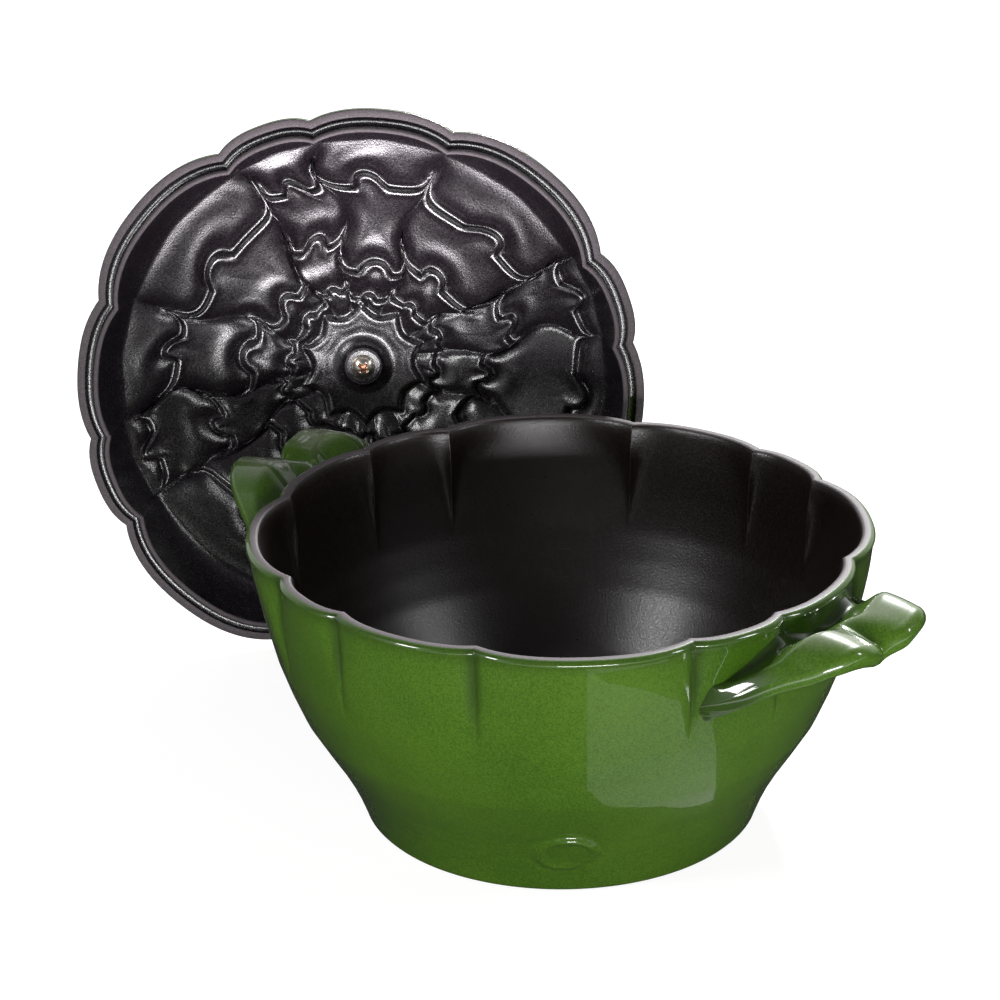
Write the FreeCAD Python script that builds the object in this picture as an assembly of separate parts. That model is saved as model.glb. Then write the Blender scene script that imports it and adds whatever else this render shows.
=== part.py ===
import FreeCAD, Part
import math
import os

# A round casserole of enamelled cast iron and its lid, in millimetres.
# The origin is at the centre of the pot's foot, on the table, and +Z is up.
# +X runs through the middle of a wide lobe of the rim.
# The lid is off: it stands on its edge behind the pot, with its underside to the front.

V = FreeCAD.Vector
ORIGIN = V(0, 0, 0)
UP = V(0, 0, 1)

# The rim's lobes. One quarter turn holds a wide lobe, a narrow one and a medium one.
QUARTERS = 4
WIDE_LOBE = 40.3
NARROW_LOBE = 20.0
MEDIUM_LOBE = 360.0 / QUARTERS - WIDE_LOBE - NARROW_LOBE
WIDE_CREST = 3.2
NARROW_CREST = 0.5
MEDIUM_CREST = 0.7
NOTCH_DEPTH = 3.0

# The pot. Its side is straight from the foot to the waist, on to the hip and on to the rim.
POT_HEIGHT = 115.0
MOUTH_RADIUS = 112.0
POT_WALL = 5.3
POT_FLOOR = 6.0
FLOOR_CORNER = 9.0
FOOT_RADIUS = 76.4
WAIST = (84.0, 18.0)
HIP = (104.5, 52.5)

# The two side handles: dished leaves that arch across and end in two lobes.
HANDLE_ANGLES = (-42.0, 138.0)
HANDLE_REACH = 151.0
HANDLE_NOTCH_DEPTH = 4.0
HANDLE_CORNER_DEPTH = 10.0
HANDLE_ROOT = 96.0
HANDLE_TIP_WIDTH = 60.0
HANDLE_ROOT_WIDTH = 118.0
HANDLE_THICKNESS = 9.0
HANDLE_DROP = 4.5
HANDLE_DISH = 5.0
HANDLE_ARCH = 80.0

# The lid, in its own frame: the seat of its flange is at z = 0 and its knob points up.
LID_OVERHANG = 1.0
LID_RADIUS = MOUTH_RADIUS + POT_WALL + LID_OVERHANG
LIP_CLEARANCE = 0.7
LIP_WIDTH = 2.3
LIP_HEIGHT = 3.5
FLANGE_THICKNESS = 4.5
LID_WALL = 4.5
DOME_EDGE_INSET = 14.3
DOME_EDGE_HEIGHT = 32.0
DOME_SLOPE = 0.4
CROWN_HEIGHT = 57.0
CROWN_RADIUS = 22.0
CROWN_TEETH = 14
TOOTH_DEPTH = 3.0

# Each ring of leaves, from the crown outwards: two points on the keels of its leaves, how far
# from the middle its wide, narrow and medium leaves end, and how far out they part.
CROWN_LEAVES = ((22.0, 58.3), (34.0, 54.5))
LEAF_RINGS = (
    ((31.0, 57.3), (60.0, 47.2), (31.0, 34.0, 30.0), 46.0),
    ((46.0, 54.2), (89.0, 37.6), (46.0, 60.0, 45.0), 73.0),
    ((75.0, 45.0), (104.0, 33.0), (75.0, 89.0, 82.0), 97.0),
)
VALLEY_SLOPE = 0.02
TIP_WIDTH = 14.0
TIP_SHARE = 0.6
TIP_NOTCH = 0.38
NOTCH_SHARE = 0.4
ELBOW_SHARE = 0.6
ELBOW_RISE = 0.18
INSIDE_SHIFT = 2.0

# The boss inside the lid, and the screw and washer that hold the knob through it.
BOSS_RADIUS = 8.2
BOSS_FOOT_RADIUS = 12.0
BOSS_HEIGHT = 5.0
BOSS_LAND = 2.0
SCREW_RADIUS = 2.5
SCREW_LENGTH = 24.0
SCREW_HEAD_RADIUS = 4.6
SCREW_HEAD_HEIGHT = 2.8
HOLE_CLEARANCE = 0.3
WASHER_RADIUS = 5.1
WASHER_THICKNESS = 1.0

# The knob on top of the lid.
KNOB_RADIUS = 19.0
KNOB_STEM_RADIUS = 9.0
KNOB_STEM_HEIGHT = 9.0
KNOB_HEAD_HEIGHT = 12.0

# Where the lid stands: on its edge, leaning back, behind the pot and to its left.
LID_LEAN = 7.8
LID_TURN = -2.2
LID_ROLL = -49.4
LID_PLACE = (-72.1, 140.9)


def polar(radius, degrees, height=0.0):
    angle = math.radians(degrees)
    return V(radius * math.cos(angle), radius * math.sin(angle), height)


def lobes():
    """Each lobe of the rim: where it starts, where it ends, its crest and its kind."""
    found = []
    kinds = ((WIDE_LOBE, WIDE_CREST), (NARROW_LOBE, NARROW_CREST), (MEDIUM_LOBE, MEDIUM_CREST))
    for quarter in range(QUARTERS):
        start = quarter * 360.0 / QUARTERS - WIDE_LOBE / 2
        for kind, (width, crest) in enumerate(kinds):
            found.append((start, start + width, crest, kind))
            start += width
    return found


def prism(edges, bottom, top):
    """The upright solid between two heights with this closed outline."""
    face = Part.Face(Part.Wire(edges))
    face.translate(V(0, 0, bottom))
    return face.extrude(V(0, 0, top - bottom))


def disc(radius, bottom, top):
    return Part.makeCylinder(radius, top - bottom, V(0, 0, bottom))


def lobed(radius, bottom, top):
    """An upright solid with the rim's outline, one arc for each lobe."""
    edges = []
    for start, end, crest, _ in lobes():
        first = polar(radius - NOTCH_DEPTH, start)
        middle = polar(radius + crest, (start + end) / 2)
        last = polar(radius - NOTCH_DEPTH, end)
        edges.append(Part.Arc(first, middle, last).toShape())
    return prism(edges, bottom, top)


def turned(profile):
    """The solid turned round the axis from points given as a radius and a height."""
    first, last = profile[0], profile[-1]
    points = [V(0, 0, first[1])] + [V(radius, 0, height) for radius, height in profile] + [V(0, 0, last[1])]
    outline = Part.makePolygon(points + points[:1])
    return Part.Face(outline).revolve(ORIGIN, UP, 360)


def inset(profile, thickness):
    """A profile moved in square to each of its straight lines, for an even wall."""
    moved = []
    for place, point in enumerate(profile):
        before = profile[max(place - 1, 0)]
        after = profile[min(place + 1, len(profile) - 1)]
        back = math.atan2(point[1] - before[1], point[0] - before[0]) if place else None
        ahead = math.atan2(after[1] - point[1], after[0] - point[0]) if after != point else back
        back = ahead if back is None else back
        lean = (back + ahead) / 2
        reach = thickness / math.cos((ahead - back) / 2)
        moved.append((point[0] - reach * math.sin(lean), point[1] + reach * math.cos(lean)))
    return moved


def radius_at(profile, height):
    """The radius of a profile at a height, taken along its straight lines."""
    for low, high in zip(profile, profile[1:]):
        if low[1] <= height <= high[1] or high == profile[-1]:
            return low[0] + (high[0] - low[0]) * (height - low[1]) / (high[1] - low[1])


def pot_outside():
    rim = (MOUTH_RADIUS + POT_WALL + WIDE_CREST, POT_HEIGHT)
    body = turned([(FOOT_RADIUS, 0.0), WAIST, HIP, rim])
    return body.common(lobed(MOUTH_RADIUS + POT_WALL, 0.0, POT_HEIGHT))


def pot_inside():
    """The room inside the pot, open at the top, with a slanted corner round its floor."""
    rim = (MOUTH_RADIUS + POT_WALL + WIDE_CREST, POT_HEIGHT)
    waist, hip, top = inset([(FOOT_RADIUS, 0.0), WAIST, HIP, rim], POT_WALL)[1:]
    mouth = (radius_at([hip, top], POT_HEIGHT), POT_HEIGHT)
    room = turned([(waist[0] - FLOOR_CORNER, POT_FLOOR), hip, mouth])
    return room.common(lobed(MOUTH_RADIUS, 0.0, POT_HEIGHT))


def handle():
    """One handle, pointing along +X: a leaf's outline cut out of an arched, dished plate."""
    root = V(HANDLE_ROOT, HANDLE_ROOT_WIDTH / 2, 0)
    ridge = HANDLE_REACH - HANDLE_CORNER_DEPTH
    corner = V(ridge, HANDLE_TIP_WIDTH / 2, 0)
    bulge = V(HANDLE_REACH, HANDLE_TIP_WIDTH / 4, 0)
    notch = V(HANDLE_REACH - HANDLE_NOTCH_DEPTH, 0, 0)
    far_root, far_corner, far_bulge = [V(point.x, -point.y, 0) for point in (root, corner, bulge)]
    outline = [
        Part.makeLine(root, corner),
        Part.Arc(corner, bulge, notch).toShape(),
        Part.Arc(notch, far_bulge, far_corner).toShape(),
        Part.makeLine(far_corner, far_root),
        Part.makeLine(far_root, root),
    ]
    crest = POT_HEIGHT - HANDLE_DROP
    dish = (MOUTH_RADIUS + ridge) / 2
    section = [
        V(HANDLE_ROOT, 0, crest),
        V(dish, 0, crest - HANDLE_DISH),
        V(ridge, 0, crest),
        V(HANDLE_REACH, 0, crest - HANDLE_THICKNESS / 2),
        V(ridge, 0, crest - HANDLE_THICKNESS),
        V(dish, 0, crest - HANDLE_DISH - HANDLE_THICKNESS),
        V(HANDLE_ROOT, 0, crest - HANDLE_DISH - HANDLE_THICKNESS),
    ]
    plate = Part.Face(Part.makePolygon(section + section[:1]))
    axis = V(0, 0, crest - HANDLE_ARCH)
    plate.rotate(axis, V(1, 0, 0), -60)
    arch = plate.revolve(axis, V(1, 0, 0), 120)
    return arch.common(prism(outline, 0, POT_HEIGHT))


def pot():
    casting = pot_outside()
    for angle in HANDLE_ANGLES:
        leaf = handle()
        leaf.rotate(ORIGIN, UP, angle)
        casting = casting.fuse(leaf)
    return casting.cut(pot_inside())


def leaf_edge(tips, valley, shift):
    """The outline where a ring of leaves ends, each leaf with a notched tip towards the crown."""
    valley += shift
    points = []
    for start, end, _, kind in lobes():
        middle = (start + end) / 2
        tip = tips[kind] + shift
        width = min(TIP_WIDTH, TIP_SHARE * math.radians(end - start) * tip)
        half_tip = math.degrees(width / 2 / tip)
        half_elbow = half_tip + ELBOW_SHARE * ((end - start) / 2 - half_tip)
        elbow = tip + ELBOW_RISE * (valley - tip)
        notch = tip + width * TIP_NOTCH
        half_notch = half_tip * NOTCH_SHARE
        points += [
            polar(valley, start),
            polar(elbow, middle - half_elbow),
            polar(tip, middle - half_tip),
            polar(notch, middle - half_notch),
            polar(notch, middle + half_notch),
            polar(tip, middle + half_tip),
            polar(elbow, middle + half_elbow),
        ]
    return [Part.makeLine(first, last) for first, last in zip(points, points[1:] + points[:1])]


def crown_edge(shift):
    """The outline of the flat crown in the middle, with a ring of teeth."""
    points = []
    for corner in range(2 * CROWN_TEETH):
        radius = CROWN_RADIUS + shift + TOOTH_DEPTH * (corner % 2)
        points.append(polar(radius, corner * 180.0 / CROWN_TEETH))
    return [Part.makeLine(first, last) for first, last in zip(points, points[1:] + points[:1])]


def pleated_cone(near, far, drop):
    """What lies under one ring of leaves: a cone with a keel on each leaf and a valley between."""
    slope = (near[1] - far[1]) / (far[0] - near[0])
    apex = V(0, 0, near[1] + slope * near[0] - drop)
    reach = 2 * LID_RADIUS
    rim = []
    for start, end, _, _ in lobes():
        rim.append(polar(reach, start, apex.z - (slope + VALLEY_SLOPE) * reach))
        rim.append(polar(reach, (start + end) / 2, apex.z - slope * reach))
    floor = [V(point.x, point.y, -2 * reach) for point in rim]
    faces = [Part.Face(Part.makePolygon(floor + floor[:1]))]
    for side, point in enumerate(rim):
        after = (side + 1) % len(rim)
        faces.append(Part.Face(Part.makePolygon([apex, point, rim[after], apex])))
        faces.append(Part.Face(Part.makePolygon([point, floor[side], floor[after], rim[after], point])))
    return Part.Solid(Part.makeShell(faces))


def leafy_dome(drop, shift):
    """The crown and its rings of leaves in one solid, lowered by drop, with edges moved out by shift."""
    top = CROWN_HEIGHT + LID_RADIUS
    edge = crown_edge(shift)
    dome = prism(edge, -LID_RADIUS, CROWN_HEIGHT - drop)
    rings = [(CROWN_LEAVES[0], CROWN_LEAVES[1], None, None)] + list(LEAF_RINGS)
    for near, far, tips, valley in rings:
        if tips:
            edge = leaf_edge(tips, valley, shift)
        leaves = pleated_cone(near, far, drop).common(disc(LID_RADIUS, -LID_RADIUS, top))
        dome = dome.fuse(leaves.cut(prism(edge, -2 * LID_RADIUS, top)))
    return dome


def lid():
    """The lid's casting: a lobed flange and lip, and a domed wall of leaves, even in thickness."""
    top = CROWN_HEIGHT + LID_RADIUS
    lip_radius = MOUTH_RADIUS - LIP_CLEARANCE
    mouth = lip_radius - LIP_WIDTH
    edge = LID_RADIUS - DOME_EDGE_INSET
    low, high = (LID_RADIUS + WIDE_CREST, FLANGE_THICKNESS), (edge, DOME_EDGE_HEIGHT)
    outer = turned(wall([low, high]))
    low, high = (mouth + WIDE_CREST, -LIP_HEIGHT), (edge - LID_WALL, DOME_EDGE_HEIGHT - LID_WALL)
    inner = turned(wall([low, high]))
    outside = leafy_dome(0.0, 0.0).common(outer.common(lobed(LID_RADIUS, 0.0, top)))
    inside = leafy_dome(ceiling_drop(), INSIDE_SHIFT).common(inner.common(lobed(mouth, -LIP_HEIGHT, top)))
    casting = outside.fuse(lobed(lip_radius, -LIP_HEIGHT, FLANGE_THICKNESS)).cut(inside)
    face = boss_face()
    boss = disc(BOSS_RADIUS, face, CROWN_HEIGHT - LID_WALL / 2)
    foot = Part.makeCone(BOSS_RADIUS, BOSS_FOOT_RADIUS, BOSS_HEIGHT - BOSS_LAND, V(0, 0, face + BOSS_LAND))
    casting = casting.fuse(boss).fuse(foot)
    return casting.cut(disc(SCREW_RADIUS + HOLE_CLEARANCE, face, CROWN_HEIGHT))


def wall(line):
    """A straight side drawn on, at the same slope, until it is above the dome and below the lip."""
    (low_radius, low), (high_radius, high) = line
    slope = (high_radius - low_radius) / (high - low)
    bottom, top = -LIP_HEIGHT, CROWN_HEIGHT + LID_WALL
    return [(low_radius + slope * (height - low), height) for height in (bottom, top)]


def ceiling_drop():
    """How far the inside of the dome lies under the outside, for an even wall on its slope."""
    return LID_WALL / math.cos(math.atan(DOME_SLOPE))


def boss_face():
    """The height of the face inside the lid that the washer lies on."""
    return CROWN_HEIGHT - ceiling_drop() - BOSS_HEIGHT


def knob_washer():
    """The flat ring between the boss and the screw's head."""
    top = boss_face()
    ring = disc(WASHER_RADIUS, top - WASHER_THICKNESS, top)
    return ring.cut(disc(SCREW_RADIUS + HOLE_CLEARANCE, top - WASHER_THICKNESS, top))


def knob_screw():
    """The screw, with its head down inside the lid and its shank up into the knob."""
    seat = boss_face() - WASHER_THICKNESS
    head = disc(SCREW_HEAD_RADIUS, seat - SCREW_HEAD_HEIGHT, seat)
    shank = disc(SCREW_RADIUS, seat, seat + SCREW_LENGTH)
    return head.fuse(shank)


def knob():
    """A turned knob that stands on the crown, with a blind hole for the screw."""
    head = CROWN_HEIGHT + KNOB_STEM_HEIGHT
    body = disc(KNOB_STEM_RADIUS, CROWN_HEIGHT, head)
    body = body.fuse(disc(KNOB_RADIUS, head, head + KNOB_HEAD_HEIGHT))
    tip = boss_face() - WASHER_THICKNESS + SCREW_LENGTH
    return body.cut(disc(SCREW_RADIUS, CROWN_HEIGHT, tip))


def stood_up(piece):
    """A piece of the lid turned from the lid's own frame to where the lid leans."""
    piece.rotate(ORIGIN, UP, LID_ROLL)
    piece.rotate(ORIGIN, V(1, 0, 0), -LID_LEAN - 90)
    piece.rotate(ORIGIN, UP, LID_TURN)
    return piece


def main():
    os.makedirs("parts", exist_ok=True)
    lid_pieces = {
        "lid": lid(),
        "knob": knob(),
        "knob_screw": knob_screw(),
        "knob_washer": knob_washer(),
    }
    pieces = {name: stood_up(piece) for name, piece in lid_pieces.items()}
    lowest = pieces["lid"].optimalBoundingBox(False, False).ZMin
    for piece in pieces.values():
        piece.translate(V(LID_PLACE[0], LID_PLACE[1], -lowest))
    pieces["pot"] = pot()
    for name, shape in pieces.items():
        shape.exportStep("parts/" + name + ".step")


main()
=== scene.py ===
# %% [markdown]
# # An enamelled casserole with its lid off
# A round pot of cast iron stands on a table, and its lid stands on edge behind it.
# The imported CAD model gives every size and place. Here the two castings get their smooth lobes,
# rounded handles, pillowy leaves and enamel, on meshes whose points follow a few simple rules.

import math

import bpy
import numpy as np
from mathutils import Matrix, Vector
from mathutils.kdtree import KDTree


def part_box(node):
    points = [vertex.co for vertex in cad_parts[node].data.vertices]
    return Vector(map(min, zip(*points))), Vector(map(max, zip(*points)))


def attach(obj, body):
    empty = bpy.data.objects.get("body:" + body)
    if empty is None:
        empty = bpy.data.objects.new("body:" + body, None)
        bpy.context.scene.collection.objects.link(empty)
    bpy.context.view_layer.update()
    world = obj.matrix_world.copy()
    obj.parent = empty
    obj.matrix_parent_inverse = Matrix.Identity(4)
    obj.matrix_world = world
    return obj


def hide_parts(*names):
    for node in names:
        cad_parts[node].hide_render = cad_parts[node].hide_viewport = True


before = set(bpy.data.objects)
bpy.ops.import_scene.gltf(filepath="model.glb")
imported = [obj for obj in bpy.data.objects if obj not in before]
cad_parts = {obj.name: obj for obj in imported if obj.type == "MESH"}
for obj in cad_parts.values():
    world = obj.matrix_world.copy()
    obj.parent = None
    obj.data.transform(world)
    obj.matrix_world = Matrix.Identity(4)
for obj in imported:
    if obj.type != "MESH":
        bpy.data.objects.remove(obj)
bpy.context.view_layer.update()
MM = 0.001

# %% [markdown]
# ## The rule of the rim
# The pot's rim and the lid's flange share one outline: in each quarter turn a wide lobe, a narrow
# one and a medium one, with a notch between neighbours. A lobe swells like 1 - |u| cubed, where u
# runs from -1 at one notch to 1 at the next, so it is broad in the middle and steep at the notch.
# Columns of mesh points crowd towards the notches, where the outline turns fastest.

# %%
LOBE_WIDTHS = (40.3, 20.0, 29.7)
LOBE_CRESTS = (2.9, 0.3, 0.3)
NOTCH = -3.0
LOBE_COLUMNS = (52, 28, 38)
CROWDING = 0.06


def lobe_columns(counts):
    """For each mesh column: its angle, its place in the lobe from -1 to 1, its kind and number."""
    angles, places, kinds, numbers = [], [], [], []
    for quarter in range(4):
        start = quarter * 90.0 - LOBE_WIDTHS[0] / 2
        for kind, (width, count) in enumerate(zip(LOBE_WIDTHS, counts)):
            step = np.arange(count) / count
            place = 2 * (step - CROWDING * np.sin(4 * np.pi * step)) - 1
            angles.append(start + width * (place + 1) / 2)
            places.append(place)
            kinds.append(np.full(count, kind))
            numbers.append(np.full(count, quarter * 3 + kind))
            start += width
    return [np.concatenate(part) for part in (angles, places, kinds, numbers)]


ANGLE, PLACE, KIND, NUMBER = lobe_columns(LOBE_COLUMNS)
TURN = np.radians(ANGLE)
CREST = np.array(LOBE_CRESTS)[KIND]
HALF_WIDTH = np.radians(np.array(LOBE_WIDTHS) / 2)[KIND]
print("columns round the rim:", len(ANGLE))


def lobing(sharpness=3.0):
    """How far the rim stands out from its mean radius in each column, in millimetres."""
    return NOTCH + (CREST - NOTCH) * (1 - np.abs(PLACE) ** sharpness)


def smooth(value, low, high):
    """0 below low, 1 above high and an even slope between."""
    t = np.clip((value - low) / (high - low), 0, 1)
    return t * t * (3 - 2 * t)


# %% [markdown]
# ## From rows of points to a mesh
# Every casting here is a stack of closed rings with the same columns. One helper joins ring to ring
# with four-sided faces and closes both ends with a fan, and the mesh goes in at its real place.

# %%
def ring_mesh(name, rings):
    """A closed mesh from rings of points in millimetres, each an array of column by x, y and z."""
    rings = np.asarray(rings)
    rows, columns, _ = rings.shape
    index = np.arange(rows * columns).reshape(rows, columns)
    after = np.roll(index, -1, axis=1)
    sides = np.stack([index[:-1], after[:-1], after[1:], index[1:]], axis=-1)
    first_hub, last_hub = rows * columns, rows * columns + 1
    faces = sides.reshape(-1, 4).tolist()
    faces += [[first_hub, int(b), int(a)] for a, b in zip(index[0], after[0])]
    faces += [[int(a), int(b), last_hub] for a, b in zip(index[-1], after[-1])]
    points = np.vstack([rings.reshape(-1, 3), rings[0].mean(axis=0), rings[-1].mean(axis=0)])
    mesh = bpy.data.meshes.new(name)
    mesh.from_pydata((points * MM).tolist(), [], faces)
    mesh.update()
    mesh.shade_smooth()
    piece = bpy.data.objects.new(name, mesh)
    bpy.context.scene.collection.objects.link(piece)
    return piece


def mark(piece, name, values):
    """Stores one number for each point of a mesh, for a material to read."""
    layer = piece.data.attributes.new(name, "FLOAT", "POINT")
    filled = np.zeros(len(piece.data.vertices), dtype=np.float32)
    filled[:len(values)] = values
    layer.data.foreach_set("value", filled)


def ring(radius, height):
    """One ring of points from a radius for each column and a height."""
    radius = np.broadcast_to(radius, TURN.shape)
    height = np.broadcast_to(height, TURN.shape)
    return np.stack([radius * np.cos(TURN), radius * np.sin(TURN), height], axis=1)


# %% [markdown]
# ## The pot's wall
# The wall was measured as a radius at each height. The lobes are full at the rim and die out before
# half the height, and their notches narrow to thin creases on the way. Depths are measured from the
# rim. Each ring carries the number of its zone, which later picks its material.

# %%
POT_HEIGHT = 115.0
MOUTH_RADIUS = 112.0
POT_WALL = 5.3
POT_FLOOR = 6.0
FLOOR_FLAT = 63.5
FLOOR_ROUNDING = 16.5
RIM_ROUNDING = 2.5
GLAZE_END = math.radians(70)
LOBES_FADE = (6, 46)
CREASES_NARROW = (3, 34)
TIP_MIDDLE = (-4.5, 20.5)
TIP_HALF_SIZE = (12.0, 9.0)
POT_OUTSIDE, BARE_IRON, POT_INSIDE = 0, 1, 2
FOOT = ((30, 0.9), (66, 0.7), (71, 0.2), (73.0, 0.0), (75.0, 0.0), (76.3, 0.35), (77.0, 1.1))
RIM_TOP = ((3.9, 115.0, BARE_IRON), (4.5, 114.9, BARE_IRON), (5.0, 114.5, POT_INSIDE))
SIDE_HEIGHTS = (0.0, 2.3, 5.8, 10.4, 17.4, 25.5, 34.8, 46.4, 58.0, 69.6, 87.0, 104.4, 116.0)
SIDE_RADII = (76.4, 77.4, 78.7, 80.5, 83.7, 88.1, 93.9, 100.8, 105.6, 109.7, 114.2, 118.0, 120.2)


def side_radius(height):
    """The outer radius at one height in the middle of a wide lobe."""
    return np.interp(height, SIDE_HEIGHTS, SIDE_RADII)


def wall_radius(height):
    """The outer radius of the wall in each column at one height."""
    depth = POT_HEIGHT - height
    fade = 1 - smooth(depth, *LOBES_FADE)
    crease = lobing(3 + 16 * smooth(depth, *CREASES_NARROW)) - LOBE_CRESTS[0]
    return side_radius(height) + fade * crease


def leaf_tip(height):
    """A low leaf mark on each wide lobe above the foot: how far it stands out in each column.

    It is an oval edge with a notch at its upper left, and it fades towards its lower right.
    """
    across = HALF_WIDTH * PLACE * side_radius(height) - TIP_MIDDLE[0]
    above = height - TIP_MIDDLE[1]
    inwards = 10.5 * (1 - np.hypot(across / TIP_HALF_SIZE[0], above / TIP_HALF_SIZE[1]))
    fade = 1 - smooth(0.6 * across - 0.8 * above, 2.0, 11.0)
    notch = 1 - 0.8 * np.exp(-((across + 4.5) / 1.8) ** 2) * smooth(height, 20, 25)
    ridge = 1.5 * np.exp(-((inwards - 1.5) / 1.4) ** 2) * notch
    edge = ridge - 0.6 * np.exp(-((inwards + 1.4) / 1.2) ** 2)
    rise = (0.8 * smooth(inwards, -1.0, 1.8) + edge) * fade
    return np.where(KIND == 0, rise, 0.0)


def pot_rings():
    """The rings of the pot, from the foot up the outside, over the rim and down to the floor."""
    rings, zone = [], []

    def add(radius, height, kind):
        rings.append(ring(radius, height))
        zone.append(kind)

    for radius, height in FOOT:
        add(radius, height, POT_OUTSIDE)
    for height in np.concatenate([np.arange(2.3, 34, 0.9), np.linspace(34, 112.0, 40)]):
        add(wall_radius(height) + leaf_tip(height), height, POT_OUTSIDE)
    top = wall_radius(POT_HEIGHT)
    for turn in np.radians((15, 32, 48, 64, 78, 90)):
        inwards = RIM_ROUNDING * (1 - math.cos(turn))
        height = POT_HEIGHT - RIM_ROUNDING * (1 - math.sin(turn))
        add(top - inwards, height, POT_OUTSIDE if turn < GLAZE_END else BARE_IRON)
    for inwards, height, kind in RIM_TOP:
        add(top - inwards, height, kind)
    for height in np.linspace(113.4, 24, 40):
        add(wall_radius(height) - POT_WALL, height, POT_INSIDE)
    for degrees in np.linspace(15, 90, 7):
        turn = math.radians(degrees)
        height = POT_FLOOR + FLOOR_ROUNDING * (1 - math.sin(turn))
        add(FLOOR_FLAT + FLOOR_ROUNDING * math.cos(turn), height, POT_INSIDE)
    for radius in (50, 30, 10):
        add(radius, POT_FLOOR, POT_INSIDE)
    return np.array(rings), np.array(zone)


pot_points, pot_zone = pot_rings()
pot_casting = ring_mesh("pot_casting", pot_points)
print("pot rings:", len(pot_points), "faces:", len(pot_casting.data.polygons))

# %% [markdown]
# ## The handles
# Each handle is a thick leaf that arches across and ends in two round lobes with a notch between.
# It is a row of sections. Each section starts inside the wall, runs out over a shallow dish to a
# ridge, turns round the thick edge and comes back underneath. Its two ends are buried in the wall.

# %%
HANDLE_ANGLES = (-42.0, 138.0)
HANDLE_TOP = 113.0
HANDLE_HALF = 52.5
HANDLE_BITE = 1.6
HANDLE_SECTIONS = 121
TOP_POINTS, EDGE_POINTS, UNDER_POINTS = 34, 13, 30
LOBE_REACH = 150.4
LOBE_NOTCH = 5.4
FLANK_REACH = 147.0
FLANK_START = 29.5
FLANK_SLOPE = 1.78
CORNER_BLEND = 4.0
HUMP_PLACE = 21
HUMP_HEIGHT = 2.6


def handle_reach(across):
    """How far the leaf reaches from the pot's axis at each distance across.

    The nearer of two curves, the lobed front and the flank, with a rounded corner between them.
    """
    side = np.sqrt(across ** 2 + 2.0)
    notch = LOBE_NOTCH * (1 - smooth(side, 0, 11))
    lobes = LOBE_REACH - notch - 0.018 * np.maximum(side - 14, 0) ** 2
    flank = FLANK_REACH - FLANK_SLOPE * (side - FLANK_START) - 0.25 * np.maximum(side - 45, 0) ** 2
    return -CORNER_BLEND * np.log(np.exp(-lobes / CORNER_BLEND) + np.exp(-flank / CORNER_BLEND))


def root(across, height, angle):
    """How far out a section starts: a little way into the pot's wall."""
    out = 100.0
    for _ in range(3):
        place = (angle + math.degrees(math.atan2(across, out)) - ANGLE[0]) % 360 + ANGLE[0]
        wall = np.interp(place, ANGLE, wall_radius(height), period=360) - HANDLE_BITE
        out = math.sqrt(wall ** 2 - across ** 2)
    return out


def handle_line(across):
    """The height of the leaf's ridge: two humps at the lobes, falling away to the roots."""
    side = np.abs(across)
    humps = HUMP_HEIGHT * np.exp(-((side - HUMP_PLACE) / 9) ** 2)
    return HANDLE_TOP + humps - np.maximum(side - 28, 0) ** 2 / 28


def handle_section(across, angle):
    """One section of the leaf: points of distance out and height."""
    side = abs(across)
    reach = float(handle_reach(across))
    line = float(handle_line(across))
    notch = math.exp(-(across / 4.5) ** 2)
    start = root(across, line - 8, angle)
    taper = float(smooth(reach - start, -1, 16))
    fullness = 5.4 + 3.8 * math.exp(-(max(side - 18, 0) / 11) ** 2) - 0.8 * notch
    thick = fullness * (0.25 + 0.75 * taper)
    under_start = root(across, line - 12 - 10 * taper, angle)
    reach = max(reach, start + 0.5)
    edge = min(thick / 2, 0.46 * (reach - start))

    out = np.linspace(start, reach - edge, TOP_POINTS)
    behind = reach - out
    near_ridge = 17 - 10 * smooth(side, 24, 42)
    dish = 9.0 * taper * smooth(behind, near_ridge, near_ridge + 15)
    top = line - 0.008 * np.maximum(19 - behind, 0) ** 2 - dish
    top = top - 1.8 * notch * (1 - smooth(behind, 5, 20)) - 0.012 * min(abs(side - 17), 17) ** 2
    top = top + 3.0 * taper * (1 - smooth(out - start, 0, 8)) ** 2
    points = list(zip(out, top))

    middle = float(top[-1]) - edge
    for turn in np.radians(np.linspace(78, -78, EDGE_POINTS)):
        points.append((reach - edge + edge * math.cos(turn), middle + edge * math.sin(turn)))
    back = np.linspace(reach - edge, under_start, UNDER_POINTS)
    fillet = 9.0 * taper * (1 - smooth(back - under_start, 0, 20)) ** 2
    under = middle - edge - 1.5 * taper * smooth(reach - back, 8, 24) - fillet
    points += list(zip(back, under))
    return points


def handle_rings(angle):
    """The sections of one handle side by side: turned to their place on the pot, and as drawn."""
    rings = []
    for across in np.linspace(-HANDLE_HALF, HANDLE_HALF, HANDLE_SECTIONS):
        section = handle_section(across, angle)
        rings.append([(out, across, height) for out, height in section])
    rings = np.array(rings)
    turn = math.radians(angle)
    x = rings[..., 0] * math.cos(turn) - rings[..., 1] * math.sin(turn)
    y = rings[..., 0] * math.sin(turn) + rings[..., 1] * math.cos(turn)
    return np.stack([x, y, rings[..., 2]], axis=-1), rings


handles = []
for number, angle in enumerate(HANDLE_ANGLES, start=1):
    placed, local = handle_rings(angle)
    handle = ring_mesh(f"leaf_handle_{number}", placed[:, ::-1])
    flat = local[:, ::-1].reshape(-1, 3)
    # The ridge is greyish: thin glaze there, and a painted sheen where the light catches it.
    ridge = np.exp(-((flat[:, 2] - handle_line(flat[:, 1])) / 1.8) ** 2)
    mark(handle, "thin_glaze_and_sheen", ridge * smooth(flat[:, 0], 118, 130))
    # Painted shade: the leaf is darker in the valley where it meets the pot's wall.
    mark(handle, "painted_shade", 1 - smooth(flat[:, 0], 117, 127))
    handles.append(handle)
print("handle faces:", len(handles[0].data.polygons))

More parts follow.
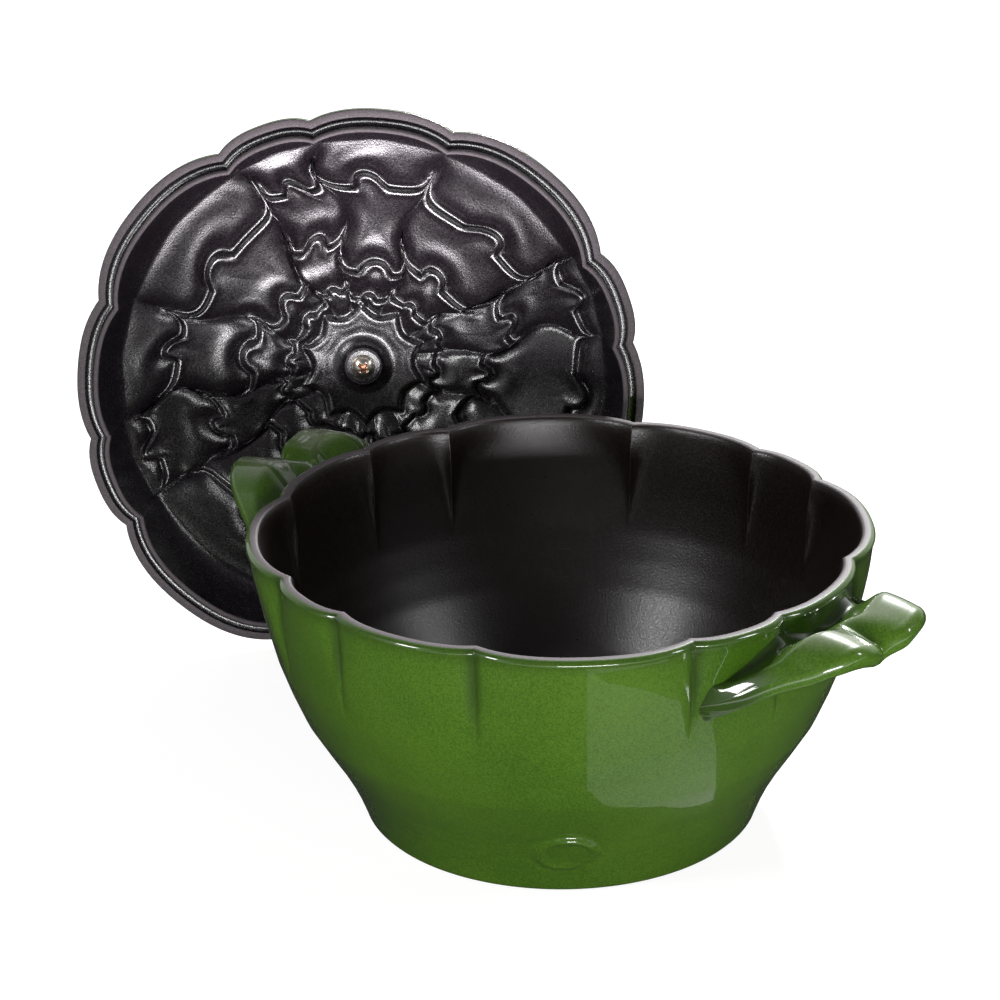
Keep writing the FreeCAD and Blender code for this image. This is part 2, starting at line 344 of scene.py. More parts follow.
# %% [markdown]
# ## The lid's leaves
# The lid is an artichoke's top. Its leaves lie in rings of twelve, in line with the rim's lobes,
# and every leaf ends towards the middle in two shoulders with a round notch between. No two leaves
# are quite alike, so each has its own tip radius. The mesh's rings follow these fronts, and the
# relief is a rule on distance: a step, a groove and a low crest at each front, a crease between
# neighbours, and a swell that makes each leaf look like a pillow. Distance is measured at a right
# angle to the front, so the groove keeps its width where the front turns a corner.

# %%
CROWN = 57.0
DOME_FALL = 410
CROWN_RADIUS = 21.6
SCALLOP_DEPTH = 5.2
LID_WALL = 4.85
WALL_START = 104.0
LEAF_TIPS = (
    (31, 33, 30, 31, 34, 30, 31, 34, 30, 29.5, 33.5, 28.5),
    (47, 63, 50, 46, 60, 46, 45, 64, 47, 40, 55, 41),
    (76, 94, 90, 76, 88, 84, 76, 94, 79, 74, 82, 80),
)
CORNER_DEPTHS = (3.5, 8.5, 15.0)
CORNER_POWERS = (3.0, 4.0, 4.5)
NOTCH_HALVES = ((3.2, 2.6, 2.8), (6.0, 4.2, 5.2), (7.2, 5.0, 6.2))
NOTCH_DEPTHS = (2.6, 5.4, 6.4)


def leaf_front(level, place, kind, number):
    """The radius of the front of one ring of leaves, at places given as in lobe_columns."""
    tip = np.array(LEAF_TIPS[level], dtype=float)[number]
    across = np.abs(place) * np.radians(np.array(LOBE_WIDTHS)[kind] / 2) * tip
    power = CORNER_POWERS[level]
    corner = CORNER_DEPTHS[level] * (1 - np.clip(1 - np.abs(place) ** power, 0, 1) ** (1 / power))
    half = np.array(NOTCH_HALVES[level])[kind]
    notch = NOTCH_DEPTHS[level] * np.clip(1 - (across / half) ** 2, 0, 1) ** 0.65
    lean = 0.9 * (level + 1) * np.sin(number * 2.3) * place
    return tip + corner + notch + lean * (1 - np.abs(place) ** 4)


def crown_front(turn):
    """The scalloped edge of the flat crown in the middle of the lid."""
    return CROWN_RADIUS + SCALLOP_DEPTH * (1 - np.abs(np.sin(5 * (turn + 0.1))) ** 0.8)


def dome(radius):
    """The height of the lid's outside before the leaves are added."""
    return CROWN - radius ** 2 / DOME_FALL


FRONTS = [crown_front(TURN)] + [leaf_front(level, PLACE, KIND, NUMBER) for level in range(3)]
spans = [(round(float(front.min()), 1), round(float(front.max()), 1)) for front in FRONTS]
print("fronts of the leaf rings, millimetres:", spans)

# %%
DENSE = lobe_columns((200, 120, 160))
DENSE_TURN = np.radians(DENSE[0])


def front_tree(radii):
    """A search tree of the points of one front."""
    tree = KDTree(len(radii))
    for index, (radius, turn) in enumerate(zip(radii, DENSE_TURN)):
        tree.insert((radius * math.cos(turn), radius * math.sin(turn), 0), index)
    tree.balance()
    return tree


TREES = [front_tree(crown_front(DENSE_TURN))]
TREES += [front_tree(leaf_front(level, *DENSE[1:])) for level in range(3)]


def beyond(level, radius):
    """The distance of each column's point from a front, positive outside it."""
    if level == len(TREES):
        return radius - WALL_START
    spots = zip(radius * np.cos(TURN), radius * np.sin(TURN))
    found = [TREES[level].find((x, y, 0))[2] for x, y in spots]
    return np.array(found) * np.where(radius > FRONTS[level], 1, -1)


STEPS = (1.8, 2.4, 3.0, 3.2)
GROOVES = (0.7, 0.8, 0.9, 0.9)
SWELLS = (0.6, 1.2, 1.6, 1.6)
CRESTS = (0.3, 0.5, 0.5, 0.5)
BULGES = (0.3, 0.9, 1.3, 1.5)
CREASES = (0.7, 1.2, 1.2, 1.2)


def front_relief(level, past):
    """The step at one front, and its groove with the crest, from the distance past the front."""
    step = -STEPS[level] * 0.5 * (1 + np.tanh((past - 0.4) / 1.1))
    groove = -GROOVES[level] * np.exp(-((past - 1.0) / 1.2) ** 2)
    crest = CRESTS[level] * np.exp(-((past + 2.0) / 1.1) ** 2)
    return step, groove + crest


def relief(radius, level):
    """How far the leaves of one ring stand out towards the lid's inside, in millimetres."""
    own, outer = beyond(level, radius), -beyond(level + 1, radius)
    share = np.clip(own / np.maximum(own + outer, 0.01), 0, 1)
    step, rest = front_relief(level, own)
    lift = step * (1 - share) + rest
    if level < 3:
        step, rest = front_relief(level + 1, -outer)
        lift = lift + step + rest
    from_side = (1 - np.abs(PLACE)) * HALF_WIDTH * radius
    near = np.minimum(np.abs(own), from_side)
    lift = lift + SWELLS[level] * (1 - np.exp(-near / 4.0))
    bulge = BULGES[level] * np.exp(-((own - 6.5) / 4.5) ** 2) * (1 - PLACE ** 2)
    crease = CREASES[level] * np.exp(-(from_side / 1.4) ** 2) * (1 - 0.6 * share)
    return lift + bulge - crease


def sway(radius):
    """How far the leaf pattern turns at each radius, in radians: no crease is quite straight."""
    full = smooth(radius, 24, 42) * (1 - smooth(radius, 88, 103))
    return full * (0.055 * np.sin(radius / 11 + 5 * TURN) + 0.03 * np.sin(radius / 6 - 3 * TURN))


def swayed_ring(radius, height):
    """A ring whose points are turned by the sway at their radius."""
    turn = TURN + sway(radius)
    return np.stack([radius * np.cos(turn), radius * np.sin(turn), height], axis=1)


def between(inner, outer, count):
    """Radii from one front to the next, crowded near both."""
    share = np.linspace(0, 1, count)
    warp = share - 0.09 * np.sin(2 * np.pi * share)
    return [inner + (outer - inner) * part for part in warp]


# %% [markdown]
# ## The lid's casting
# The rings run from the boss in the middle of the underside out over the leaves, down the wall to
# the locating lip, over the flange and back up the outside. The outside repeats the leaves.

# %%
LIP_RADIUS = 111.2
LIP_INSIDE = 109.2
LIP_TOP = -2.9
BOSS_FACE = 47.15
BOSS_EDGE = 8.0
CROWN_START = 14.0
SEAT_INSIDE = 115.0
SEAT_OUTSIDE = 117.8
LID_INSIDE, LID_OUTSIDE = 0, 2
ROWS_INSIDE = (10, 22, 32, 20)
ROWS_OUTSIDE = (8, 13, 12, 7)
BOSS = ((3.0, 0.0), (6.8, 0.0), (7.5, 0.1), (BOSS_EDGE, 0.5), (8.3, 1.2), (8.4, 2.4))
FLANGE = (
    (LIP_INSIDE + 0.3, -3.35, BARE_IRON),
    (LIP_INSIDE + 0.9, -3.5, BARE_IRON),
    (LIP_RADIUS - 0.5, -3.4, BARE_IRON),
    (LIP_RADIUS, -2.8, BARE_IRON),
    (LIP_RADIUS + 0.1, 0.4, LID_INSIDE),
    (LIP_RADIUS + 0.6, 1.3, LID_INSIDE),
    (113.0, 1.5, LID_INSIDE),
    (114.2, 1.2, LID_INSIDE),
    (114.8, 0.4, LID_INSIDE),
    (SEAT_INSIDE, 0.15, LID_INSIDE),
    (115.3, 0.0, BARE_IRON),
    (SEAT_OUTSIDE, 0.0, BARE_IRON),
    (118.1, 0.2, BARE_IRON),
    (118.3, 0.6, LID_INSIDE),
    (118.3, 1.5, LID_OUTSIDE),
    (118.3, 3.4, LID_OUTSIDE),
    (118.0, 4.2, LID_OUTSIDE),
    (117.2, 4.6, LID_OUTSIDE),
)


def fading(radius, level):
    """The share of the relief: it fades on the outermost leaves, before the lid's wall starts."""
    return 1 - smooth(radius, 94, 103) if level == 3 else 1.0


def lid_rings():
    """Rings of the lid in its own frame: seat of the flange at height 0 and the crown upwards."""
    rings, zone = [], []

    def add(radius, height, kind, shape=ring):
        rings.append(shape(radius, height))
        zone.append(kind)

    for radius, rise in BOSS:
        add(radius, BOSS_FACE + rise, BARE_IRON if radius == BOSS_EDGE else LID_INSIDE)
    foot, rise = BOSS[-1]
    climb = CROWN - LID_WALL - BOSS_FACE - rise
    for share in np.linspace(0, 1, 6)[1:]:
        height = BOSS_FACE + rise + climb * math.sin(share * math.pi / 2) ** 0.8
        add(foot + (CROWN_START - foot) * share, height, LID_INSIDE)
    for share in (0.2, 0.4, 0.55, 0.7, 0.8, 0.88, 0.94):
        radius = CROWN_START + (FRONTS[0] - CROWN_START) * share
        step, rest = front_relief(0, beyond(0, radius))
        add(radius, dome(radius) - LID_WALL - step - rest, LID_INSIDE)
    bounds = FRONTS + [np.full(len(TURN), WALL_START)]
    for level, rows in enumerate(ROWS_INSIDE):
        for radius in between(bounds[level], bounds[level + 1], rows)[:-1 if level < 3 else -3]:
            height = dome(radius) - LID_WALL - relief(radius, level) * fading(radius, level)
            add(radius, height, LID_INSIDE, swayed_ring)

    start_radius = np.hypot(rings[-1][:, 0], rings[-1][:, 1])
    start_height = rings[-1][:, 2]
    lobes = lobing()
    for share in np.linspace(0, 1, 15)[1:]:
        radius = start_radius + (LIP_INSIDE + lobes - start_radius) * (1 - (1 - share) ** 1.7)
        add(radius, start_height + (LIP_TOP - start_height) * share ** 1.25, LID_INSIDE)
    for radius, height, kind in FLANGE:
        add(radius + lobes, height, kind)

    edge, edge_height, _ = FLANGE[-1]
    climb = dome(WALL_START) - edge_height
    for share in np.linspace(0, 1, 15)[1:]:
        radius = (edge + lobes) * (1 - share) + WALL_START * share
        add(radius, edge_height + climb * math.sin(share * math.pi / 2) ** 1.1, LID_OUTSIDE)
    for level in range(3, -1, -1):
        for radius in between(bounds[level], bounds[level + 1], ROWS_OUTSIDE[level])[::-1][1:]:
            height = dome(radius) - 0.4 - 0.8 * relief(radius, level) * fading(radius, level)
            add(radius, height, LID_OUTSIDE, swayed_ring)
    for share in (0.9, 0.75, 0.5, 0.25):
        add(FRONTS[0] * share, CROWN - 0.3, LID_OUTSIDE)
    return np.array(rings), np.array(zone)


LID_LEAN = math.radians(7.8)
LID_TURN = math.radians(-2.2)
LID_ROLL = math.radians(-49.4)
washer_low, washer_high = (Vector(corner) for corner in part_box("knob_washer"))
stand = (
    Matrix.Rotation(LID_TURN, 4, "Z")
    @ Matrix.Rotation(-LID_LEAN - math.pi / 2, 4, "X")
    @ Matrix.Rotation(LID_ROLL, 4, "Z")
)
washer_middle = Vector((0, 0, (BOSS_FACE - 0.5) * MM))
lid_place = Matrix.Translation((washer_low + washer_high) / 2 - stand @ washer_middle) @ stand
print("the lid's own origin lies at", [round(v, 4) for v in lid_place.translation])

lid_points, lid_zone = lid_rings()
lid_casting = ring_mesh("lid_casting", lid_points[::-1])
lid_zone = lid_zone[::-1]
lid_casting.data.transform(lid_place)
print("lid rings:", len(lid_points), "faces:", len(lid_casting.data.polygons))

# %% [markdown]
# ## Shader maths as Python
# One small class wraps a socket, so that a pattern reads as an expression.

# %%
class Maths:
    """A socket of a material's nodes with Python's operators."""

    def __init__(self, tree, socket):
        self.tree, self.socket = tree, socket

    def node(self, kind, *sockets, **settings):
        """Adds a node, sets its settings, then fills its sockets by place or by name."""
        made = self.tree.nodes.new(kind)
        named = settings.pop("named", {})
        for key, value in settings.items():
            setattr(made, key, value)
        for place, value in list(enumerate(sockets)) + list(named.items()):
            if isinstance(value, Maths):
                self.tree.links.new(value.socket, made.inputs[place])
            else:
                made.inputs[place].default_value = value
        return Maths(self.tree, made.outputs[0])

    def maths(self, operation, value):
        return self.node("ShaderNodeMath", self, value, operation=operation)

    def __add__(self, other):
        return self.maths("ADD", other)

    def __mul__(self, other):
        return self.maths("MULTIPLY", other)

    def __rsub__(self, other):
        return (self * -1.0) + other

    def between(self, low, high):
        """0 below low and 1 above high."""
        ends = (low, high, 0.0, 1.0)
        return self.node("ShaderNodeMapRange", self, *ends, interpolation_type="SMOOTHSTEP")

    def mix(self, first, second):
        """A colour mixed by this value."""
        made = self.tree.nodes.new("ShaderNodeMix")
        made.data_type = "RGBA"
        self.tree.links.new(self.socket, made.inputs[0])
        for place, value in ((6, first), (7, second)):
            if isinstance(value, Maths):
                self.tree.links.new(value.socket, made.inputs[place])
            else:
                made.inputs[place].default_value = (*value, 1.0)
        return Maths(self.tree, made.outputs[2])


def new_material(name):
    """A material with its shader, and the Object coordinates that its patterns read."""
    material = bpy.data.materials.new(name)
    material.use_nodes = True
    tree = material.node_tree
    shader = tree.nodes["Principled BSDF"]
    place = tree.nodes.new("ShaderNodeTexCoord")
    return material, tree, shader, Maths(tree, place.outputs["Object"])


def wire(tree, value, shader, socket):
    """Lets a pattern drive one of the shader's inputs."""
    tree.links.new(value.socket, shader.inputs[socket])


def noise(place, scale, detail=2.0, roughness=0.5):
    """A noise pattern, its scale in cells for each metre."""
    inputs = {"Vector": place, "Scale": scale, "Detail": detail, "Roughness": roughness}
    return place.node("ShaderNodeTexNoise", named=inputs)


def attribute(tree, name):
    """The number that mark() stored at each point under this name."""
    made = tree.nodes.new("ShaderNodeAttribute")
    made.attribute_name = name
    return Maths(tree, made.outputs["Fac"])


def bump(tree, height, strength, distance, shader):
    """A fine grain in the shader's normal, its distance in metres."""
    made = tree.nodes.new("ShaderNodeBump")
    made.inputs["Strength"].default_value = strength
    made.inputs["Distance"].default_value = distance
    tree.links.new(height.socket, made.inputs["Height"])
    tree.links.new(made.outputs["Normal"], shader.inputs["Normal"])


# %% [markdown]
# ## The knob, its screw and its washer
# All three are turned pieces, so one Geometry Nodes tree is their lathe: it sweeps a profile round
# a circle, closes it on the axis, smooths it and gives it its material. The tree's named inputs are
# the circle's radius, the number of columns and the finish. Each result becomes a plain mesh.

# %%
LATHE_CIRCLE = 50.0 * MM
LATHE_COLUMNS = 96
SCREW_COLUMNS = 128
MERGE_DISTANCE = 0.001 * MM


def lathe_tree():
    """The Geometry Nodes tree: profile to circle sweep, merged, smoothed and given its finish."""
    tree = bpy.data.node_groups.new("lathe", "GeometryNodeTree")
    socket = tree.interface.new_socket
    socket("Profile", in_out="INPUT", socket_type="NodeSocketGeometry")
    circle = socket("Circle Radius", in_out="INPUT", socket_type="NodeSocketFloat")
    circle.default_value = LATHE_CIRCLE
    count = socket("Columns", in_out="INPUT", socket_type="NodeSocketInt")
    count.default_value = LATHE_COLUMNS
    socket("Finish", in_out="INPUT", socket_type="NodeSocketMaterial")
    socket("Turned", in_out="OUTPUT", socket_type="NodeSocketGeometry")
    given = tree.nodes.new("NodeGroupInput")
    last = None
    circle_inputs = {"Resolution": "Columns", "Radius": "Circle Radius"}
    steps = (
        ("GeometryNodeCurvePrimitiveCircle", circle_inputs, None),
        ("GeometryNodeCurveToMesh", {"Profile Curve": "Profile"}, "Curve"),
        ("GeometryNodeMergeByDistance", {}, "Geometry"),
        ("GeometryNodeSetShadeSmooth", {}, "Geometry"),
        ("GeometryNodeSetMaterial", {"Material": "Finish"}, "Geometry"),
        ("GeometryNodeRealizeInstances", {}, "Geometry"),
    )
    for kind, inputs, entry in steps:
        made = tree.nodes.new(kind)
        for place, name in inputs.items():
            tree.links.new(given.outputs[name], made.inputs[place])
        if kind == "GeometryNodeMergeByDistance":
            made.inputs["Distance"].default_value = MERGE_DISTANCE
        if entry:
            tree.links.new(last.outputs[0], made.inputs[entry])
        last = made
    tree.links.new(last.outputs[0], tree.nodes.new("NodeGroupOutput").inputs[0])
    return tree


LATHE = lathe_tree()


def set_input(modifier, name, value):
    """Sets a named input of a Geometry Nodes modifier by the socket's identifier."""
    for item in modifier.node_group.interface.items_tree:
        if item.name == name and item.in_out == "INPUT":
            modifier[item.identifier] = value


def turned_piece(name, profile, material, columns=LATHE_COLUMNS):
    """A closed piece turned round the lid's axis, from radius and height in millimetres."""
    curve = bpy.data.curves.new(name + "_profile", "CURVE")
    curve.dimensions = "3D"
    line = curve.splines.new("POLY")
    line.points.add(len(profile) - 1)
    for point, (radius, height) in zip(line.points, profile):
        point.co = (radius * MM - LATHE_CIRCLE, -height * MM, 0, 1)
    blank = bpy.data.objects.new(name + "_blank", curve)
    bpy.context.scene.collection.objects.link(blank)
    lathe = blank.modifiers.new("lathe", "NODES")
    lathe.node_group = LATHE
    set_input(lathe, "Columns", columns)
    set_input(lathe, "Finish", material)
    graph = bpy.context.evaluated_depsgraph_get()
    mesh = bpy.data.meshes.new_from_object(blank.evaluated_get(graph), depsgraph=graph)
    bpy.data.objects.remove(blank)
    mesh.name = name
    piece = bpy.data.objects.new(name, mesh)
    bpy.context.scene.collection.objects.link(piece)
    print(name, "faces:", len(mesh.polygons))
    return piece


# %% [markdown]
# ## Green enamel
# The outside is a translucent glaze: a mottled green with a clear gloss over it. Painted shade
# darkens it in the creases, just under the rim and where the handles meet the wall. The handles'
# ridges turn greyish-brown: thin glaze there, with a painted sheen where the light catches them.

# %%
GREEN_DARK, GREEN_LIGHT = (0.031, 0.082, 0.0053), (0.067, 0.141, 0.0108)
# Painted shade for the creases, the top of the wall and the valleys by the handles.
GREEN_PAINTED_SHADE = (0.020, 0.042, 0.007)
# Thin glaze with a painted sheen, for the ridges of the handles.
GREEN_THIN_AND_SHEEN = (0.19, 0.18, 0.16)
IRON_DARK, IRON_LIGHT = (0.050, 0.042, 0.046), (0.115, 0.100, 0.108)
LINING_DARK, LINING_LIGHT = (0.0070, 0.0036, 0.0034), (0.0140, 0.0080, 0.0078)
UNDERSIDE_DARK, UNDERSIDE_LIGHT = (0.004, 0.0025, 0.004), (0.010, 0.007, 0.010)
NICKEL_COLOUR = (0.66, 0.60, 0.52)
STEEL_COLOUR = (0.55, 0.54, 0.52)
COPPER_TINT = (0.32, 0.13, 0.07)


def green_enamel():
    """Green glaze with painted shade in hollows, and thin glaze and painted sheen on ridges."""
    material, tree, shader, place = new_material("green_enamel")
    cloud = noise(place, 16.0, 2.0)
    grain = noise(place, 1300.0, 3.0, 0.65)
    tone = (cloud * 0.30 + grain * 0.70).between(0.36, 0.64)
    green = tone.mix(GREEN_DARK, GREEN_LIGHT)
    # painted shade, darker in the hollows
    green = (attribute(tree, "painted_shade") * 0.8).mix(green, GREEN_PAINTED_SHADE)
    # thin glaze and a painted sheen on the handles' ridges
    green = (attribute(tree, "thin_glaze_and_sheen") * 0.35).mix(green, GREEN_THIN_AND_SHEEN)
    wire(tree, green, shader, "Base Color")
    wire(tree, grain * 0.10 + 0.30, shader, "Roughness")
    shader.inputs["Coat Weight"].default_value = 1.0
    shader.inputs["Coat Roughness"].default_value = 0.035
    shader.inputs["Specular IOR Level"].default_value = 0.2
    bump(tree, cloud, 0.12, 0.001, shader)
    return material


def bare_rim():
    """The matte grey-brown iron where the enamel stops."""
    material, tree, shader, place = new_material("bare_iron_rim")
    fleck = noise(place, 2600.0, 2.0)
    wire(tree, fleck.between(0.32, 0.7).mix(IRON_DARK, IRON_LIGHT), shader, "Base Color")
    wire(tree, fleck * 0.2 + 0.42, shader, "Roughness")
    shader.inputs["Specular IOR Level"].default_value = 0.15
    bump(tree, fleck, 0.3, 0.0002, shader)
    return material


def black_enamel(name, grain, dark, light, rough, level):
    """A satin black with a fine grain of so many cells for each metre, and its specular level."""
    material, tree, shader, place = new_material(name)
    fine = noise(place, grain, 3.0, 0.6)
    wire(tree, fine.between(0.35, 0.7).mix(dark, light), shader, "Base Color")
    wire(tree, fine * 0.28 + rough, shader, "Roughness")
    shader.inputs["Specular IOR Level"].default_value = level
    bump(tree, fine, 0.45, 0.00022, shader)
    return material


def plain_metal(name, colour, rough):
    """A finely brushed metal with a copper tint in its recess."""
    material, tree, shader, place = new_material(name)
    brush = noise(place, 1800.0, 2.0)
    metal = (brush * 0.25).mix(colour, tuple(part * 0.6 for part in colour))
    metal = attribute(tree, "recess").mix(metal, COPPER_TINT)
    wire(tree, metal, shader, "Base Color")
    wire(tree, brush * 0.12 + rough, shader, "Roughness")
    shader.inputs["Metallic"].default_value = 1.0
    return material


GREEN = green_enamel()
RIM = bare_rim()
LINING = black_enamel("black_lining", 1100.0, LINING_DARK, LINING_LIGHT, 0.20, 0.6)
UNDERSIDE = black_enamel("black_underside", 1300.0, UNDERSIDE_DARK, UNDERSIDE_LIGHT, 0.14, 1.0)
NICKEL = plain_metal("satin_nickel", NICKEL_COLOUR, 0.24)
STEEL = plain_metal("knob_steel", STEEL_COLOUR, 0.28)

# %% [markdown]
# ## Turning the three pieces
# The knob is a low button on a waisted stem. The screw's head is a low dome, and a cross-shaped
# driver recess is pressed into it by moving the points of its top. The recess shows a copper tint.

# %%
knob_profile = [
    (0, 57.0), (9.0, 57.0), (9.0, 57.6), (8.4, 58.4), (8.0, 60.0), (8.2, 62.0),
    (9.2, 64.0), (12.0, 65.6), (16.0, 66.3), (18.2, 67.0), (19.0, 68.2), (19.0, 74.6),
    (18.6, 75.8), (17.4, 76.7), (14.0, 77.4), (9.0, 77.8), (3.0, 78.0), (0, 78.0),
]
turned_knob = turned_piece("turned_knob", knob_profile, STEEL)
washer_profile = [
    (2.8, 47.15), (2.8, 46.3), (3.0, 46.15), (4.8, 46.15),
    (5.1, 46.4), (5.1, 47.15), (2.8, 47.15),
]
washer_ring = turned_piece("flat_washer", washer_profile, NICKEL)

HEAD_RADIUS = 4.5
HEAD_TOP = 43.35
HEAD_DOME = 1.85
RECESS_END = 45.3
head_dome = [
    (radius, HEAD_TOP + HEAD_DOME * (radius / HEAD_RADIUS) ** 2.2)
    for radius in np.linspace(0, HEAD_RADIUS, 26)
]
screw_profile = head_dome + [(4.62, 45.6), (4.4, 46.15), (2.4, 46.15), (2.4, 57.0), (0, 57.0)]
screw_head = turned_piece("cross_screw", screw_profile[::-1], NICKEL, columns=SCREW_COLUMNS)


def press_cross(piece, half_width=0.62, half_length=2.5, depth=1.15):
    """Presses a cross into the head and marks its points as recess."""
    marks = []
    for vertex in piece.data.vertices:
        x, y, z = (part / MM for part in vertex.co)
        near, far = sorted((abs(x), abs(y)))
        inside = 1 - smooth(near, half_width - 0.15, half_width + 0.15)
        inside *= 1 - smooth(far, half_length - 0.5, half_length)
        inside = float(inside) if z < RECESS_END else 0.0
        vertex.co.z += depth * inside * MM
        marks.append(inside)
    mark(piece, "recess", marks)


press_cross(screw_head)
for piece in (turned_knob, washer_ring):
    mark(piece, "recess", np.zeros(len(piece.data.vertices)))
for piece in (turned_knob, washer_ring, screw_head):
    piece.data.transform(lid_place)
print("screw head marks:", len(screw_head.data.attributes["recess"].data))

# %% [markdown]
# ## Paint by zone
# Each ring of a casting knows whether it is outside, rim or inside, and so does each face.

# %%
def paint(piece, zones, materials):
    """Gives each band of faces the material of its zone, from the ring that it starts at."""
    columns = len(TURN)
    for material in materials:
        piece.data.materials.append(material)
    bands = np.repeat(zones[:-1], columns)
    index = np.zeros(len(piece.data.polygons), dtype=np.int32)
    index[:len(bands)] = bands
    index[len(bands):len(bands) + columns] = zones[0]
    index[len(bands) + columns:] = zones[-1]
    piece.data.polygons.foreach_set("material_index", index)


paint(pot_casting, pot_zone, (GREEN, RIM, LINING))
paint(lid_casting, lid_zone, (UNDERSIDE, RIM, GREEN))
for handle in handles:
    handle.data.materials.append(GREEN)
# Painted shade on the pot: darker in the creases by the notches and in a band just under the rim.
painted_shade_rows = []
for points in pot_points:
    depth = POT_HEIGHT - float(points[:, 2].mean())
    from_notch = (1 - np.abs(PLACE)) * HALF_WIDTH * MOUTH_RADIUS
    crease = (1 - smooth(from_notch, 0.3, 4.0)) * (1 - smooth(depth, 14, 42))
    painted_shade_rows.append(np.clip(0.9 * crease + 0.55 * (1 - smooth(depth, 1.0, 7.0)), 0, 1))
mark(pot_casting, "painted_shade", np.concatenate(painted_shade_rows))
mark(pot_casting, "thin_glaze_and_sheen", np.zeros(len(pot_casting.data.vertices)))

# %% [markdown]
# ## What stands for what
# The smooth pieces take the place of the CAD solids, which stay for collision.

# %%
for piece, nodes, slot in (
    (pot_casting, ["pot"], "enamel"),
    (lid_casting, ["lid"], "lid_enamel"),
    (turned_knob, ["knob"], "knob_metal"),
    (washer_ring, ["knob_washer"], "screw_metal"),
    (screw_head, ["knob_screw"], "screw_metal"),
):
    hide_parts(*nodes)
    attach(piece, "root")
for handle in handles:
    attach(handle, "root")

# %% [markdown]
# ## The table, the light and the camera
# A plain white table that the camera sees as pure white, with the object's shadow left on it. In
# the gloss of the enamel the table is dark close to the pot, as in its own shade, and bright
# further off. A card on it shows as the pale window on the pot's front. Small strong lamps put a
# thin bright line on every bend, a weak one over the pot's mouth lights the middle of the lid, and
# a bright wall behind gives the pale sheen on all that faces up.

# %%
TABLE_HALF = 6
TABLE_SEEN = 0.87
TABLE_SHADED = 0.28
TABLE_PLAIN = 0.78
TABLE_NEAR, TABLE_FAR = 0.03, 2.4
CARD_HEIGHT = 0.0004
CARD_GLOW = 0.50
GLOW_BEHIND = 0.75
GLOW_ALL_ROUND = 0.08


def stage_sheet(name, corners, material):
    """A flat stage piece from its corners, in metres."""
    mesh = bpy.data.meshes.new(name)
    mesh.from_pydata(corners, [], [tuple(range(len(corners)))])
    mesh.materials.append(material)
    sheet = bpy.data.objects.new(name, mesh)
    bpy.context.scene.collection.objects.link(sheet)
    return sheet


def emission(tree, strength):
    """An emission node of a fixed strength, or of one that a pattern drives."""
    made = tree.nodes.new("ShaderNodeEmission")
    if isinstance(strength, Maths):
        tree.links.new(strength.socket, made.inputs["Strength"])
    else:
        made.inputs["Strength"].default_value = strength
    return made


def mix_shader(tree, factor, first, second):
    """The first shader where the factor is 0 and the second where it is 1."""
    made = tree.nodes.new("ShaderNodeMixShader")
    tree.links.new(factor, made.inputs[0])
    tree.links.new(first.outputs[0], made.inputs[1])
    tree.links.new(second.outputs[0], made.inputs[2])
    return made


def diffuse(tree, level):
    """A matte grey of one level."""
    made = tree.nodes.new("ShaderNodeBsdfDiffuse")
    made.inputs["Color"].default_value = (level, level, level, 1)
    return made


def white_table():
    """White to the camera, dark near the pot in the gloss of the enamel, and else a plain grey."""
    material = bpy.data.materials.new("white_table")
    material.use_nodes = True
    tree = material.node_tree
    tree.nodes.clear()
    rays = tree.nodes.new("ShaderNodeLightPath")
    place = tree.nodes.new("ShaderNodeTexCoord")
    parts = tree.nodes.new("ShaderNodeSeparateXYZ")
    tree.links.new(place.outputs["Object"], parts.inputs[0])
    glow = (Maths(tree, parts.outputs["Y"]) * -1.0).between(0.45, 0.75) * TABLE_FAR + TABLE_NEAR
    seen = tree.nodes.new("ShaderNodeAddShader")
    tree.links.new(emission(tree, TABLE_SEEN).outputs[0], seen.inputs[0])
    tree.links.new(diffuse(tree, TABLE_SHADED).outputs[0], seen.inputs[1])
    plain, mirrored = diffuse(tree, TABLE_PLAIN), emission(tree, glow)
    unseen = mix_shader(tree, rays.outputs["Is Glossy Ray"], plain, mirrored)
    whole = mix_shader(tree, rays.outputs["Is Camera Ray"], unseen, seen)
    tree.links.new(whole.outputs[0], tree.nodes.new("ShaderNodeOutputMaterial").inputs[0])
    return material


def card_white():
    """The glow of the card, seen only in the enamel."""
    material = bpy.data.materials.new("card_white")
    material.use_nodes = True
    tree = material.node_tree
    tree.nodes.clear()
    glowing = emission(tree, CARD_GLOW)
    tree.links.new(glowing.outputs[0], tree.nodes.new("ShaderNodeOutputMaterial").inputs[0])
    return material


signs = ((-1, -1), (1, -1), (1, 1), (-1, 1))
stage_sheet("table", [(TABLE_HALF * x, TABLE_HALF * y, 0) for x, y in signs], white_table())
card_corners = [(0.0115, -0.2235), (0.140, -0.1605), (0.0698, -0.0662), (0.0066, -0.1238)]
card = stage_sheet("card", [(x, y, CARD_HEIGHT) for x, y in card_corners], card_white())
card.visible_camera = False
card.visible_diffuse = False
card.visible_shadow = False


def lamp(name, place, aim, size, power, colour=(1, 1, 1)):
    """A rectangular soft lamp at a place, turned to a point."""
    data = bpy.data.lights.new(name, "AREA")
    data.shape = "RECTANGLE"
    data.size, data.size_y = size
    data.energy = power
    data.color = colour
    made = bpy.data.objects.new(name, data)
    made.location = place
    made.rotation_euler = (Vector(aim) - Vector(place)).to_track_quat("-Z", "Y").to_euler()
    bpy.context.scene.collection.objects.link(made)
    return made


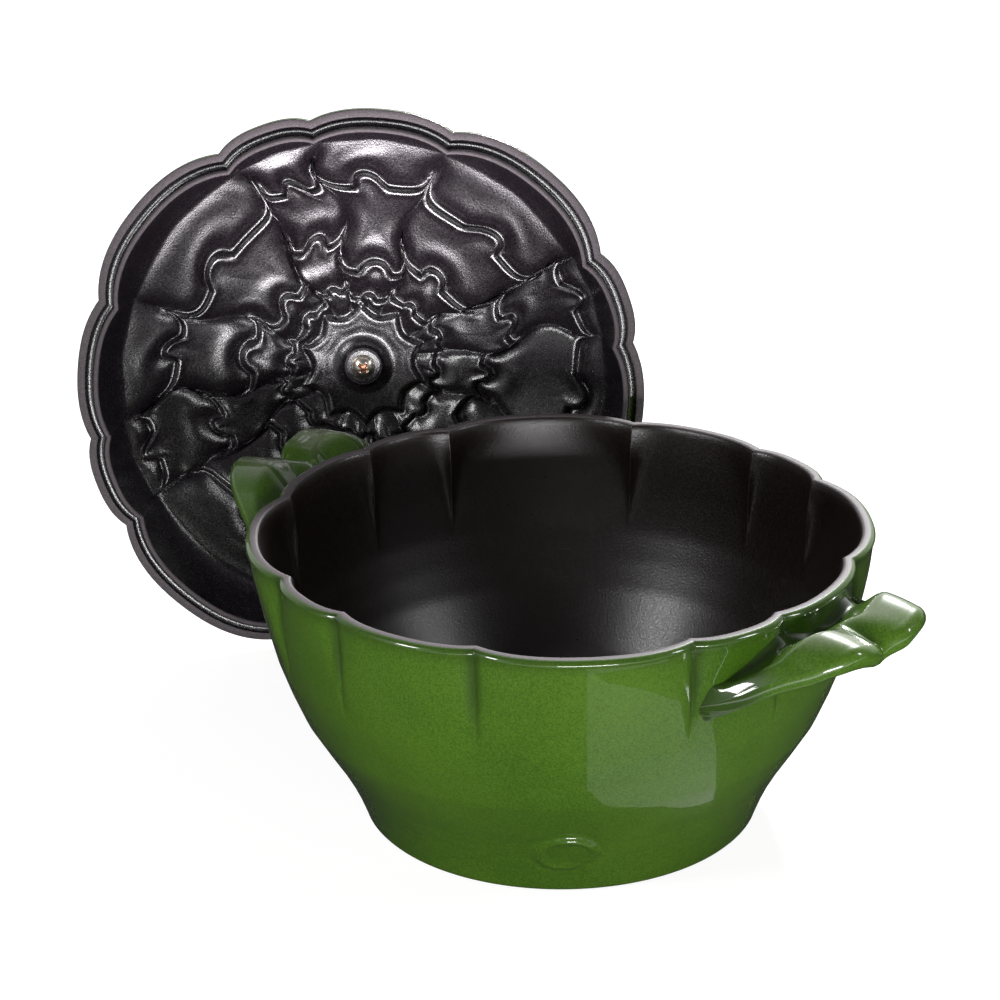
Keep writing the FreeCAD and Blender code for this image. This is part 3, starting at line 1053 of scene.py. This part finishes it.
lamp("soft_left", (-0.95, -0.55, 0.75), (0, 0.02, 0.08), (0.22, 0.26), 6.0)
lamp("soft_right", (1.05, -0.40, 0.80), (0, 0, 0.08), (0.16, 0.34), 3.2)
lamp("low_front", (0.10, -1.35, 0.14), (-0.07, 0.14, 0.12), (0.6, 0.14), 14.0)
lamp("soft_back", (0.39, 0.94, 0.87), (-0.04, -0.045, 0.01), (0.16, 0.12), 36.0)
fill_colour = (1.0, 0.94, 1.0)
fill_place, fill_aim = (-0.065, 0.035, 0.135), (-0.065, 0.19, 0.205)
fill = lamp("mouth_fill", fill_place, fill_aim, (0.12, 0.04), 0.14, fill_colour)
fill.data.spread = math.radians(70)
fill.visible_camera = False

world = bpy.data.worlds.new("studio")
bpy.context.scene.world = world
world.use_nodes = True
sky = world.node_tree
sky_place = sky.nodes.new("ShaderNodeTexCoord")
sky_parts = sky.nodes.new("ShaderNodeSeparateXYZ")
sky.links.new(sky_place.outputs["Generated"], sky_parts.inputs[0])
sky_rays = sky.nodes.new("ShaderNodeLightPath")
behind_share = Maths(sky, sky_parts.outputs["Y"]).between(0.1, 0.8)
wall_glow = behind_share * GLOW_BEHIND + GLOW_ALL_ROUND
background = sky.nodes["Background"]
background.inputs[0].default_value = (1, 1, 1, 1)
seen_directly = Maths(sky, sky_rays.outputs["Is Camera Ray"])
glow = (1 - seen_directly) * wall_glow + seen_directly
sky.links.new(glow.socket, background.inputs[1])
bpy.context.scene.view_settings.view_transform = "Standard"

EYE = Vector((-91.96, -1162.89, 618.17)) * MM
TILT = math.radians(22.874)
HEADING = math.radians(-3.4)
ROLL = math.radians(-0.560)
camera_data = bpy.data.cameras.new("camera")
camera_data.lens = 120.05
camera_data.sensor_width = 36.0
camera_data.clip_end = 50.0
camera = bpy.data.objects.new("camera", camera_data)
camera.matrix_world = (
    Matrix.Translation(EYE)
    @ Matrix.Rotation(HEADING, 4, "Z")
    @ Matrix.Rotation(math.pi / 2 - TILT, 4, "X")
    @ Matrix.Rotation(ROLL, 4, "Z")
)
bpy.context.scene.collection.objects.link(camera)
bpy.context.scene.camera = camera
